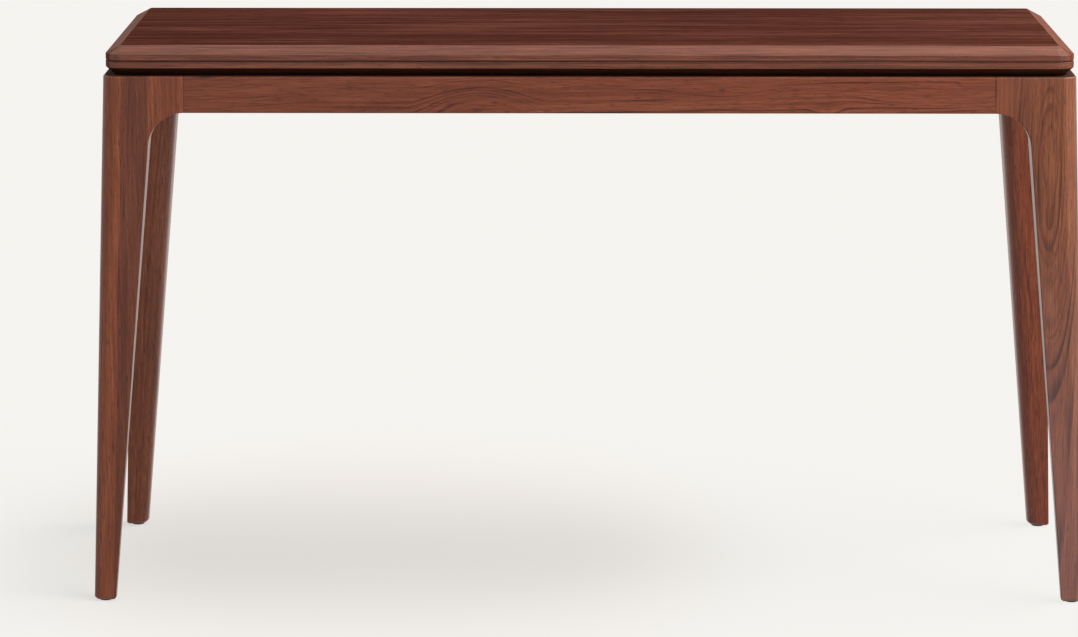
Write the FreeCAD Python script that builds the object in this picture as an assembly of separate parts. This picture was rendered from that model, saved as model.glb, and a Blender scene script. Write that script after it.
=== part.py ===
"""Extending console table: two bevelled leaves that slide forward and fold open on a splayed frame.

Millimetres, +Z up. The origin is on the floor at the middle of the table, and the front looks towards -Y.
"""
import FreeCAD, Part
import math
import os
from collections import namedtuple

# Whole table
table_height = 762.0
frame_length = 1300.0
frame_depth = 460.0

# Leaves: a veneered panel in a mitred solid lipping, square at the seam and bevelled on the other side
leaf_thickness = 19.0
leaf_inset = 3.0
leaf_corner_radius = 24.0
leaf_bevel_width = 20.0
leaf_under_bevel_width = 12.0
leaf_bevel_drop = 10.5
leaf_arris_radius = 1.0
leaf_seam_ease = 0.8
leaf_seam_gap = 0.8

# Frame
apron_height = 49.0
apron_thickness = 26.0
side_apron_recess = 1.5
apron_end_ease = 0.5
frame_arris_radius = 2.0

# Legs: a tapered post with an ear towards each apron, arched into the leg
leg_head_width = 108.0
leg_arch_radius = 48.0
leg_splay = 25.0
leg_edge_radius = 1.5
foot_width = 30.0
foot_depth = 30.0
foot_chamfer = 3.0
outer_corner_radius_head = 20.0
outer_corner_radius_foot = 10.0
inner_corner_radius_head = 26.0
inner_corner_radius_foot = 17.0

# Foot glides
glide_radius = 9.0
glide_height = 2.5
glide_edge_radius = 0.8
glide_stem_radius = 3.5
glide_stem_length = 16.0

# Corner blocks and the bolts that draw the legs to them
block_thickness = 24.0
block_height = 38.0
block_drop = 3.0
block_setback = 6.0
block_screw_seat = 10.0
block_screw_share = 0.4
hanger_bolt_radius = 4.0
hanger_bolt_reach = 45.0
hanger_bolt_tip = 4.0
hanger_washer_radius = 9.0
hanger_washer_thickness = 1.6
hanger_nut_width = 13.0
hanger_nut_thickness = 6.5

# Dowels
dowel_radius = 4.0
dowel_length = 40.0
dowel_height_shares = (0.28, 0.72)
rail_dowel_length = 30.0
rail_dowel_shares = (0.25, 0.75)

# Cross rails between the long aprons
cross_rail_width = 44.0
cross_rail_height = 30.0

# Slides: a T runner under the lower leaf in a slotted rail on the cross rail
slide_end_distance = 250.0
slide_rail_width = 32.0
slide_rail_wall = 2.5
slide_slot_width = 13.0
runner_flange_height = 7.0
slide_clearance = 0.3
buffer_length = 6.0

# Felt pads that the leaves rest and slide on, in a rebate along the inner top edge of each long apron
slide_pad_thickness = 2.0
slide_pad_proud = 0.6
slide_pad_width = 9.0
slide_pad_end_gap = 1.0

# Hinges let into the rear edges of both leaves
hinge_end_distance = 180.0
hinge_length = 60.0
hinge_plate_height = 7.0
hinge_plate_thickness = 2.0
hinge_axis_setback = 0.3
hinge_knuckle_radius = 2.5
hinge_knuckle_clearance = 0.4
hinge_pin_radius = 1.25
hinge_pin_clearance = 0.05
hinge_screw_shares = (-0.36, 0.0, 0.36)

# Screws
block_screw_head_radius = 4.0
block_screw_head_height = 2.6
block_screw_radius = 2.0
block_screw_length = 28.0
slide_screw_head_radius = 3.6
slide_screw_head_height = 1.2
slide_screw_radius = 1.75
rail_screw_length = 16.0
runner_screw_length = 22.0
hinge_screw_head_radius = 2.0
hinge_screw_head_height = 0.8
hinge_screw_radius = 1.2
hinge_screw_length = 12.0
rail_screw_shares = (-0.4, 0.0, 0.4)
runner_screw_shares = (-0.4, 0.0, 0.4)
screw_socket_share = 0.5
hole_clearance = 0.1

# One overrun for all through cuts, and the closeness at which two places count as the same
overrun = 5.0
same_place = 0.01

# Places worked out from the sizes above
half_length = frame_length / 2
half_depth = frame_depth / 2
leaf_half_length = half_length - leaf_inset
leaf_half_depth = half_depth - leaf_inset
slide_travel = leaf_half_depth
leaf_underside = table_height - 2 * leaf_thickness - leaf_seam_gap
frame_top = leaf_underside - slide_pad_proud
apron_bottom = frame_top - apron_height
slide_pad_bed = leaf_underside - slide_pad_thickness
seam_height = table_height - leaf_thickness - leaf_seam_gap / 2
hinge_axis_y = leaf_half_depth + hinge_axis_setback
inner_y = half_depth - apron_thickness
slide_offset = half_length - slide_end_distance
hinge_offset = half_length - hinge_end_distance
side_apron_inner_x = half_length - side_apron_recess - apron_thickness
slide_rail_height = 2 * slide_rail_wall + runner_flange_height + 2 * slide_clearance
slide_rail_bottom = frame_top - slide_rail_height
slide_floor = slide_rail_bottom + slide_rail_wall
runner_length = 2 * inner_y - slide_travel - 2 * buffer_length - 2 * slide_clearance
runner_middle_y = inner_y - buffer_length - slide_clearance - runner_length / 2

ScrewSize = namedtuple("ScrewSize", "head_radius head_height shank_radius shank_length")
block_screw_head = (block_screw_head_radius, block_screw_head_height)
slide_screw_head = (slide_screw_head_radius, slide_screw_head_height)
hinge_screw_head = (hinge_screw_head_radius, hinge_screw_head_height)
block_screw = ScrewSize(*block_screw_head, block_screw_radius, block_screw_length)
rail_screw = ScrewSize(*slide_screw_head, slide_screw_radius, rail_screw_length)
runner_screw = ScrewSize(*slide_screw_head, slide_screw_radius, runner_screw_length)
hinge_screw = ScrewSize(*hinge_screw_head, hinge_screw_radius, hinge_screw_length)

AXIS_X = FreeCAD.Vector(1, 0, 0)
AXIS_Y = FreeCAD.Vector(0, 1, 0)
AXIS_Z = FreeCAD.Vector(0, 0, 1)
ORIGIN = FreeCAD.Vector(0, 0, 0)
INWARD = (AXIS_X + AXIS_Y).normalize()
CORNERS = {
    "front_left": (False, False),
    "front_right": (True, False),
    "rear_left": (False, True),
    "rear_right": (True, True),
}
SIDES = {"left": -1, "right": 1}
ENDS = {"front": -1, "rear": 1}
STATIONS = {"left": -1, "centre": 0, "right": 1}


def vec(x, y, z):
    """Short name for a point or direction."""
    return FreeCAD.Vector(x, y, z)


def box(low, high):
    """Box between two opposite corners."""
    size = high - low
    return Part.makeBox(size.x, size.y, size.z, low)


def rod(start, direction, radius, length):
    """Cylinder from a point along a direction."""
    return Part.makeCylinder(radius, length, start, direction)


def rounded_wire(points, radii):
    """Closed outline through the points, with an arc of its radius at each corner, or none for zero."""
    edges = []
    stops = []
    count = len(points)
    for place, radius in enumerate(radii):
        corner = points[place]
        back = (points[place - 1] - corner).normalize()
        ahead = (points[(place + 1) % count] - corner).normalize()
        half_angle = back.getAngle(ahead) / 2
        reach = radius / math.tan(half_angle)
        middle = (back + ahead).normalize()
        depth = radius / math.sin(half_angle) - radius
        stops.append((corner + back * reach, corner + middle * depth, corner + ahead * reach))
    for place, (first, middle, last) in enumerate(stops):
        if radii[place] > 0:
            edges.append(Part.Arc(first, middle, last).toShape())
        following = stops[(place + 1) % count][0]
        edges.append(Part.makeLine(last, following))
    return Part.Wire(edges)


def rounded_rectangle(half_x, half_y, radius, z):
    """Rectangle outline centred on the Z axis, with four equal round corners."""
    signs = ((-1, -1), (1, -1), (1, 1), (-1, 1))
    points = [vec(half_x * sign_x, half_y * sign_y, z) for sign_x, sign_y in signs]
    return rounded_wire(points, [radius] * len(points))


def prism(points, sweep):
    """Solid swept from a flat polygon."""
    return Part.Face(Part.makePolygon(points + points[:1])).extrude(sweep)


def placed(shape, flip_x, flip_y):
    """A front left piece mirrored to its own corner."""
    if flip_x:
        shape = shape.mirror(ORIGIN, AXIS_X)
    if flip_y:
        shape = shape.mirror(ORIGIN, AXIS_Y)
    return shape


def edges_where(shape, test):
    """Edges whose ends and middle all pass the test."""
    found = []
    for edge in shape.Edges:
        middle = edge.valueAt((edge.FirstParameter + edge.LastParameter) / 2)
        spots = [vertex.Point for vertex in edge.Vertexes] + [middle]
        if all(test(spot) for spot in spots):
            found.append(edge)
    return found


def near(value, target):
    """Whether two places are the same."""
    return abs(value - target) < same_place


def screw(seat, direction, size):
    """Flat head screw with a hexagon socket, its head resting on the seat point."""
    head = rod(seat - direction * size.head_height, direction, size.head_radius, size.head_height)
    shank = rod(seat, direction, size.shank_radius, size.shank_length)
    socket_radius = size.head_radius * screw_socket_share
    socket_depth = size.head_height * screw_socket_share
    across = direction.cross(AXIS_Z)
    if across.Length < same_place:
        across = AXIS_X
    across = across.normalize()
    side = direction.cross(across)
    top = seat - direction * size.head_height
    turns = [math.pi * step / 3 for step in range(6)]
    hexagon = [top + (across * math.cos(turn) + side * math.sin(turn)) * socket_radius for turn in turns]
    return head.fuse(shank).cut(prism(hexagon, direction * socket_depth)).removeSplitter()


def screw_hole(seat, direction, size, head_room):
    """Clearance hole for a screw, with a counterbore that leaves room behind its seat."""
    shank = rod(seat, direction, size.shank_radius + hole_clearance, size.shank_length + hole_clearance)
    counterbore = rod(seat - direction * head_room, direction, size.head_radius + hole_clearance, head_room)
    return shank.fuse(counterbore)


def leg_outer_x(z):
    """Outer face of the left legs at a height: flush with the frame at the top and splayed at the foot."""
    return -half_length - leg_splay * (frame_top - z) / (frame_top - glide_height)


def arch_taper(foot_inside):
    """Slope of a leg's inner face, which runs from the foot to touch the arch circle."""
    across = leg_head_width - foot_inside
    rise = apron_bottom - leg_arch_radius - glide_height
    to_centre = math.atan2(across, rise)
    return to_centre - math.asin(leg_arch_radius / math.hypot(across, rise))


def ear_outline(foot_inside, start):
    """Outline of an ear as distance inwards and height: square at the apron, arched into the post."""
    lean = arch_taper(foot_inside)
    centre = (leg_head_width, apron_bottom - leg_arch_radius)
    half_turn = (math.pi / 2 - lean) / 2
    rim = []
    for step in range(3):
        angle = math.pi / 2 + half_turn * step
        across = centre[0] + leg_arch_radius * math.cos(angle)
        rim.append((across, centre[1] + leg_arch_radius * math.sin(angle)))
    corners = [(start, rim[-1][1]), (start, frame_top), (leg_head_width, frame_top), rim[0]]
    return corners, rim


def ear(foot_inside, start, to_point, sweep):
    """Solid ear: its outline placed by to_point and swept through the thickness."""
    corners, rim = ear_outline(foot_inside, start)
    spots = [to_point(*corner) for corner in corners]
    edges = [Part.makeLine(first, last) for first, last in zip(spots, spots[1:])]
    edges.append(Part.Arc(*[to_point(*spot) for spot in rim]).toShape())
    edges.append(Part.makeLine(to_point(*rim[-1]), spots[0]))
    return Part.Face(Part.Wire(edges)).extrude(sweep)


def leg_section(z, inset=0):
    """Plan outline of the post at a height, drawn in by an inset."""
    drop = z - glide_height
    share = drop / (frame_top - glide_height)
    outer = leg_outer_x(z) + inset
    foot_inside = foot_width - leg_splay
    inner = -half_length + foot_inside + drop * math.tan(arch_taper(foot_inside)) - inset
    front = -half_depth + inset
    back = -half_depth + foot_depth + drop * math.tan(arch_taper(foot_depth)) - inset
    outer_growth = outer_corner_radius_head - outer_corner_radius_foot
    inner_growth = inner_corner_radius_head - inner_corner_radius_foot
    outer_radius = outer_corner_radius_foot + outer_growth * share - inset
    inner_radius = inner_corner_radius_foot + inner_growth * share - inset
    points = [vec(outer, front, z), vec(inner, front, z), vec(inner, back, z), vec(outer, back, z)]
    return rounded_wire(points, [outer_radius, 0, inner_radius, 0])


def leg_dowels(length):
    """Dowel places at one front left leg, as start points and directions centred on the joints."""
    places = []
    for share in dowel_height_shares:
        z = apron_bottom + apron_height * share
        front_joint = vec(-half_length + leg_head_width, -half_depth + apron_thickness / 2, z)
        side_middle = -side_apron_inner_x - apron_thickness / 2
        side_joint = vec(side_middle, -half_depth + leg_head_width, z)
        places.append((front_joint - AXIS_X * length / 2, AXIS_X))
        places.append((side_joint - AXIS_Y * length / 2, AXIS_Y))
    return places


def dowel_holes():
    """Cutters for the dowels at one front left leg."""
    length = dowel_length + 2 * hole_clearance
    radius = dowel_radius + hole_clearance
    return [rod(start, direction, radius, length) for start, direction in leg_dowels(length)]


def glide_centre():
    """Middle of the front left foot on the floor."""
    return vec(-half_length - leg_splay + foot_width / 2, -half_depth + foot_depth / 2, 0)


def leg():
    """Front left leg: splayed tapered post, two arched ears, eased arrises and a chamfered foot."""
    foot = [leg_section(glide_height, foot_chamfer), leg_section(glide_height + foot_chamfer)]
    post = Part.makeLoft(foot + [leg_section(frame_top)], True, True)
    front_ear = ear(
        foot_width - leg_splay,
        outer_corner_radius_head,
        lambda inward, z: vec(-half_length + inward, -half_depth, z),
        AXIS_Y * apron_thickness,
    )
    side_ear = ear(
        foot_depth,
        outer_corner_radius_head,
        lambda inward, z: vec(-half_length - leg_splay, -half_depth + inward, z),
        AXIS_X * (leg_splay + side_apron_recess + apron_thickness),
    )
    inside_splay = prism(
        [
            vec(leg_outer_x(glide_height), -half_depth, glide_height),
            vec(leg_outer_x(frame_top), -half_depth, frame_top),
            vec(0, -half_depth, frame_top),
            vec(0, -half_depth, glide_height),
        ],
        AXIS_Y * half_depth,
    )
    body = post.fuse([front_ear, side_ear.common(inside_splay)]).removeSplitter()
    body = body.makeFillet(leg_edge_radius, edges_where(body, on_arch_edge))
    body = body.makeFillet(frame_arris_radius, edges_where(body, on_head_arris))
    stem_hole = rod(
        glide_centre() + AXIS_Z * glide_height,
        AXIS_Z,
        glide_stem_radius + hole_clearance,
        glide_stem_length + hole_clearance,
    )
    bolt_hole = rod(hanger_start(), INWARD, hanger_bolt_radius + hole_clearance, hanger_bolt_reach)
    return body.cut([stem_hole, bolt_hole] + dowel_holes())


def on_arch_edge(spot):
    """Whether a point of the leg lies on the long edge between an outer face and the arched inner face."""
    on_front = near(spot.y, -half_depth) and spot.x > leg_outer_x(spot.z) + outer_corner_radius_head
    on_side = near(spot.x, leg_outer_x(spot.z)) and spot.y > -half_depth + outer_corner_radius_head
    below_top = spot.z < frame_top - same_place
    on_joint = near(spot.x, -half_length + leg_head_width) or near(spot.y, -half_depth + leg_head_width)
    at_apron_height = spot.z > apron_bottom + same_place
    return (on_front or on_side) and below_top and not (on_joint and at_apron_height)


def on_head_arris(spot):
    """Whether a point of the leg lies on the outer top edge of its head."""
    on_outside = near(spot.y, -half_depth) or near(spot.x, -half_length)
    centre = vec(-half_length + outer_corner_radius_head, -half_depth + outer_corner_radius_head, frame_top)
    in_corner = spot.x < centre.x + same_place and spot.y < centre.y + same_place
    on_corner = in_corner and near((spot - centre).Length, outer_corner_radius_head)
    return near(spot.z, frame_top) and (on_outside or on_corner)


def foot_glide():
    """Moulded glide of the front left leg: a disc with an eased rim and a stem for the foot."""
    disc = rod(glide_centre(), AXIS_Z, glide_radius, glide_height)
    rim = edges_where(disc, lambda spot: near(spot.z, 0) and not near((spot - glide_centre()).Length, 0))
    disc = disc.makeFillet(glide_edge_radius, rim)
    stem = rod(glide_centre(), AXIS_Z, glide_stem_radius, glide_height + glide_stem_length)
    return disc.fuse(stem).removeSplitter()


def block_screws():
    """Seats and directions of the two screws of the front left corner block."""
    width = block_thickness * math.sqrt(2)
    along = leg_head_width + block_setback + width * block_screw_share
    z = frame_top - block_drop - block_height / 2
    into_front = vec(-half_length + along, -inner_y + block_screw_seat, z)
    side_along = along + apron_thickness - (half_length - side_apron_inner_x)
    into_side = vec(-side_apron_inner_x + block_screw_seat, -half_depth + side_along, z)
    return [(into_front, -AXIS_Y), (into_side, -AXIS_X)]


def block_face_middle():
    """Middle of the face of the front left corner block that looks at the leg."""
    on_front = vec(-half_length + leg_head_width + block_setback, -inner_y, 0)
    on_side = vec(-side_apron_inner_x, on_front.y + on_front.x + side_apron_inner_x, 0)
    return (on_front + on_side) / 2 + AXIS_Z * (frame_top - block_drop - block_height / 2)


def hanger_start():
    """Inner end of the front left hanger bolt, in the leg."""
    return block_face_middle() - INWARD * hanger_bolt_reach


def corner_block():
    """Front left corner block: a diagonal brace between the front and side aprons."""
    width = block_thickness * math.sqrt(2)
    z = frame_top - block_drop - block_height
    near_front = vec(-half_length + leg_head_width + block_setback, -inner_y, z)
    near_side = vec(-side_apron_inner_x, near_front.y + near_front.x + side_apron_inner_x, z)
    points = [near_front, near_front + AXIS_X * width, near_side + AXIS_Y * width, near_side]
    block = prism(points, AXIS_Z * block_height)
    reach = hanger_bolt_reach + 2 * block_thickness
    bolt_hole = rod(hanger_start(), INWARD, hanger_bolt_radius + hole_clearance, reach)
    screw_holes = [screw_hole(seat, way, block_screw, block_thickness) for seat, way in block_screws()]
    return block.cut([bolt_hole] + screw_holes)


def hanger_bolt():
    """Stud from the front left leg through its corner block, washer and nut."""
    stack = block_thickness + hanger_washer_thickness + hanger_nut_thickness
    return rod(hanger_start(), INWARD, hanger_bolt_radius, hanger_bolt_reach + stack + hanger_bolt_tip)


def hanger_washer():
    """Washer on the room side of the front left corner block."""
    seat = block_face_middle() + INWARD * block_thickness
    ring = rod(seat, INWARD, hanger_washer_radius, hanger_washer_thickness)
    return ring.cut(rod(seat, INWARD, hanger_bolt_radius + hole_clearance, hanger_washer_thickness))


def hanger_nut():
    """Hexagon nut on the front left hanger bolt."""
    seat = block_face_middle() + INWARD * (block_thickness + hanger_washer_thickness)
    side = INWARD.cross(AXIS_Z)
    radius = hanger_nut_width / math.sqrt(3)
    turns = [math.pi * step / 3 for step in range(6)]
    hexagon = [seat + (AXIS_Z * math.cos(turn) + side * math.sin(turn)) * radius for turn in turns]
    nut = prism(hexagon, INWARD * hanger_nut_thickness)
    return nut.cut(rod(seat, INWARD, hanger_bolt_radius + hole_clearance, hanger_nut_thickness))


def cross_rail_dowels(length):
    """Start points of the dowels between the cross rails and the front apron, centred on the joints."""
    z = slide_rail_bottom - cross_rail_height / 2
    starts = []
    for station in STATIONS.values():
        for share in rail_dowel_shares:
            x = station * slide_offset + cross_rail_width * (share - sum(rail_dowel_shares) / 2)
            starts.append(vec(x, -inner_y - length / 2, z))
    return starts


def rail_dowel_holes():
    """Cutters for the cross rail dowels along the front apron."""
    length = rail_dowel_length + 2 * hole_clearance
    radius = dowel_radius + hole_clearance
    return [rod(start, AXIS_Y, radius, length) for start in cross_rail_dowels(length)]


def both_ways(shapes, flip_x, flip_y):
    """Mirrored copies of front left shapes, together with the shapes themselves."""
    every = list(shapes)
    if flip_x:
        every = every + [shape.mirror(ORIGIN, AXIS_X) for shape in every]
    if flip_y:
        every = every + [shape.mirror(ORIGIN, AXIS_Y) for shape in every]
    return every


def eased_apron(board, on_face):
    """Apron with its show face eased along the top and bottom, as the leg heads are."""
    top = edges_where(board, lambda spot: on_face(spot) and near(spot.z, frame_top))
    board = board.makeFillet(frame_arris_radius, top)
    bottom = edges_where(board, lambda spot: on_face(spot) and near(spot.z, apron_bottom))
    return board.makeFillet(leg_edge_radius, bottom)


def front_apron():
    """Front apron between the leg heads, with eased arrises and fine open joints at its ends."""
    end = half_length - leg_head_width
    board = box(vec(-end, -half_depth, apron_bottom), vec(end, -inner_y, frame_top))

    ends = edges_where(board, lambda spot: near(spot.y, -half_depth) and near(abs(spot.x), end))
    board = board.makeChamfer(apron_end_ease, ends)
    board = eased_apron(board, lambda spot: near(spot.y, -half_depth))
    rebate_low = vec(-end - overrun, -inner_y - slide_pad_width, slide_pad_bed)
    rebate = box(rebate_low, vec(end + overrun, -inner_y + overrun, frame_top + overrun))
    block_holes = [screw_hole(seat, way, block_screw, block_screw_seat) for seat, way in block_screws()[:1]]
    return board.cut(both_ways(dowel_holes() + block_holes, True, False) + rail_dowel_holes() + [rebate])


def left_apron():
    """Left apron between the front and rear leg heads, set a little behind their faces."""
    end = half_depth - leg_head_width
    outside = -half_length + side_apron_recess
    board = box(vec(outside, -end, apron_bottom), vec(-side_apron_inner_x, end, frame_top))

    board = eased_apron(board, lambda spot: near(spot.x, outside))
    block_holes = [screw_hole(seat, way, block_screw, block_screw_seat) for seat, way in block_screws()[1:]]
    return board.cut(both_ways(dowel_holes() + block_holes, False, True))


def rail_screw_places(x):
    """Seats of the screws that hold one slide rail to its cross rail."""
    z = slide_floor - rail_screw.head_height
    return [vec(x, 2 * inner_y * share, z) for share in rail_screw_shares]


def cross_rail(x):
    """Cross rail between the front and rear aprons."""
    half = cross_rail_width / 2
    low = vec(x - half, -inner_y, slide_rail_bottom - cross_rail_height)
    rail = box(low, vec(x + half, inner_y, slide_rail_bottom))
    holes = both_ways(rail_dowel_holes(), False, True)
    if x:
        holes = holes + [screw_hole(seat, -AXIS_Z, rail_screw, overrun) for seat in rail_screw_places(x)]
    return rail.cut(holes)


def slide_rail(x):
    """Slotted aluminium rail on a cross rail."""
    half = slide_rail_width / 2
    bar = box(vec(x - half, -inner_y, slide_rail_bottom), vec(x + half, inner_y, frame_top))
    cavity_half = half - slide_rail_wall
    cavity_low = vec(x - cavity_half, -inner_y - overrun, slide_floor)
    cavity = box(cavity_low, vec(x + cavity_half, inner_y + overrun, frame_top - slide_rail_wall))
    slot_half = slide_slot_width / 2
    slot_low = vec(x - slot_half, -inner_y - overrun, slide_floor)
    slot = box(slot_low, vec(x + slot_half, inner_y + overrun, frame_top + overrun))
    holes = [screw_hole(seat, -AXIS_Z, rail_screw, overrun) for seat in rail_screw_places(x)]
    return bar.cut([cavity, slot] + holes)


def runner_screw_places(x):
    """Seats of the screws that hold one runner to the lower leaf."""
    z = slide_floor + slide_clearance + runner_screw.head_height
    return [vec(x, runner_middle_y + runner_length * share, z) for share in runner_screw_shares]


def slide_runner(x):
    """T runner: a flange kept in the slide rail and a stem up to the lower leaf."""
    low_y = runner_middle_y - runner_length / 2
    high_y = runner_middle_y + runner_length / 2
    flange_half = slide_rail_width / 2 - slide_rail_wall - slide_clearance
    stem_half = slide_slot_width / 2 - slide_clearance
    bottom = slide_floor + slide_clearance
    flange_top = bottom + runner_flange_height
    flange = box(vec(x - flange_half, low_y, bottom), vec(x + flange_half, high_y, flange_top))
    stem = box(vec(x - stem_half, low_y, bottom), vec(x + stem_half, high_y, leaf_underside))
    holes = [screw_hole(seat, AXIS_Z, runner_screw, overrun) for seat in runner_screw_places(x)]
    return flange.fuse(stem).removeSplitter().cut(holes)


def rail_buffer(x, end):
    """Rubber stop in one end of a slide rail."""
    half = slide_rail_width / 2 - slide_rail_wall - slide_clearance
    outer = end * inner_y
    inner = end * (inner_y - buffer_length)
    low = vec(x - half, min(outer, inner), slide_floor)
    return box(low, vec(x + half, max(outer, inner), slide_floor + runner_flange_height))


def slide_pad():
    """Felt strip in the rebate of the front apron, level with the underside of the lower leaf."""
    end = half_length - leg_head_width - slide_pad_end_gap
    low = vec(-end, -inner_y - slide_pad_width, slide_pad_bed)
    return box(low, vec(end, -inner_y, leaf_underside))


def leaf_blank(bevel_width):
    """Upper leaf before it is divided: eased at the seam, square edged, then bevelled to the field."""
    seam = seam_height + leaf_seam_gap / 2
    arris_height = table_height - leaf_bevel_drop
    levels = [
        (leaf_seam_ease, seam),
        (0, seam + leaf_seam_ease),
        (0, arris_height),
        (bevel_width, table_height),
    ]
    outlines = []
    for inset, z in levels:
        half_x = leaf_half_length - inset
        half_y = leaf_half_depth - inset
        outlines.append(rounded_rectangle(half_x, half_y, leaf_corner_radius - inset, z))
    blank = Part.makeLoft(outlines, True, True)
    arris = edges_where(blank, lambda spot: near(spot.z, arris_height))
    return blank.makeFillet(leaf_arris_radius, arris)


def leaf_panel():
    """Veneered panel of the upper leaf, inside the lippings."""
    outline = rounded_rectangle(
        leaf_half_length - leaf_bevel_width,
        leaf_half_depth - leaf_bevel_width,
        leaf_corner_radius - leaf_bevel_width,
        seam_height + leaf_seam_gap / 2,
    )
    return Part.Face(outline).extrude(AXIS_Z * leaf_thickness)


def mitre_blocks():
    """Blocks that divide the lipping into four mitred pieces, meeting at 45 degrees at the corners."""
    z = seam_height - overrun
    ridge = leaf_half_length - leaf_half_depth
    sweep = AXIS_Z * (leaf_thickness + 2 * overrun)
    reach_x = leaf_half_length
    reach_y = leaf_half_depth
    front = [vec(-reach_x, -reach_y, z), vec(reach_x, -reach_y, z), vec(ridge, 0, z), vec(-ridge, 0, z)]
    left = [vec(-reach_x, -reach_y, z), vec(-ridge, 0, z), vec(-reach_x, reach_y, z)]
    blocks = {"front": prism(front, sweep), "left": prism(left, sweep)}
    blocks["rear"] = blocks["front"].mirror(ORIGIN, AXIS_Y)
    blocks["right"] = blocks["left"].mirror(ORIGIN, AXIS_X)
    return blocks


def hinge_screw_places(x):
    """Seats of the screws of one upper hinge plate."""
    above_knuckles = seam_height + hinge_knuckle_radius + hinge_knuckle_clearance
    plate_edge = seam_height + leaf_seam_gap / 2 + hinge_plate_height
    z = (above_knuckles + plate_edge) / 2
    y = leaf_half_depth - hinge_screw.head_height
    return [vec(x + hinge_length * share, y, z) for share in hinge_screw_shares]


def hinge_mortise(x):
    """Cutter in the rear edge of a leaf for one hinge: plate recess, knuckle groove and screw holes."""
    half = hinge_length / 2
    seam = seam_height + leaf_seam_gap / 2
    recess_low = vec(x - half, leaf_half_depth - hinge_plate_thickness, seam - overrun)
    recess = box(recess_low, vec(x + half, leaf_half_depth + overrun, seam + hinge_plate_height))
    groove_start = vec(x - half, hinge_axis_y, seam_height)
    groove = rod(groove_start, AXIS_X, hinge_knuckle_radius + hinge_knuckle_clearance, hinge_length)
    holes = [screw_hole(seat, -AXIS_Y, hinge_screw, overrun) for seat in hinge_screw_places(x)]
    return [recess, groove] + holes


def lippings(bevel_width):
    """Four mitred lippings of an upper leaf by name, the rear one let in for the hinges."""
    border = leaf_blank(bevel_width).cut(leaf_panel())
    pieces = {name: border.common(block) for name, block in mitre_blocks().items()}
    mortises = []
    for station in STATIONS.values():
        mortises += hinge_mortise(station * hinge_offset)
    pieces["rear"] = pieces["rear"].cut(mortises)
    return pieces


def hinge_knuckles(x, places):
    """Knuckles at the given thirds of one hinge, each a little short of its third."""
    third = hinge_length / 3
    length = third - hinge_knuckle_clearance
    starts = [x - hinge_length / 2 + third * place + hinge_knuckle_clearance / 2 for place in places]
    points = [vec(start, hinge_axis_y, seam_height) for start in starts]
    return [rod(point, AXIS_X, hinge_knuckle_radius, length) for point in points]


def hinge_reliefs(x, places):
    """Room in a plate for the other plate's knuckles."""
    third = hinge_length / 3
    radius = hinge_knuckle_radius + hinge_knuckle_clearance
    length = third + hinge_knuckle_clearance
    starts = [x - hinge_length / 2 + third * place - hinge_knuckle_clearance / 2 for place in places]
    points = [vec(start, hinge_axis_y, seam_height) for start in starts]
    return [rod(point, AXIS_X, radius, length) for point in points]


def hinge_plate(x, own, other):
    """Upper half of one hinge: a plate flush with the leaf's edge and its own knuckles round the pin."""
    half = hinge_length / 2
    seam = seam_height + leaf_seam_gap / 2
    low = vec(x - half, leaf_half_depth - hinge_plate_thickness, seam)
    plate = box(low, vec(x + half, leaf_half_depth, seam + hinge_plate_height))
    plate = plate.fuse(hinge_knuckles(x, own)).cut(hinge_reliefs(x, other))
    pin_hole = rod(
        vec(x - half - overrun, hinge_axis_y, seam_height),
        AXIS_X,
        hinge_pin_radius + hinge_pin_clearance,
        hinge_length + 2 * overrun,
    )
    holes = [screw_hole(seat, -AXIS_Y, hinge_screw, overrun) for seat in hinge_screw_places(x)]
    return plate.cut([pin_hole] + holes).removeSplitter()


def hinge_pin(x):
    """Pin through the knuckles of one hinge."""
    length = hinge_length - hinge_knuckle_clearance
    return rod(vec(x - length / 2, hinge_axis_y, seam_height), AXIS_X, hinge_pin_radius, length)


def below_seam(shape):
    """Mirror image of an upper piece, below the seam."""
    return shape.mirror(vec(0, 0, seam_height), AXIS_Z)


def save(name, shape):
    """Write one node, as one solid or as a group of separate solids."""
    shape.exportStep("parts/" + name + ".step")


def save_group(name, shapes):
    """Write identical pieces as one node of separate solids."""
    save(name, Part.makeCompound(shapes))


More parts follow.
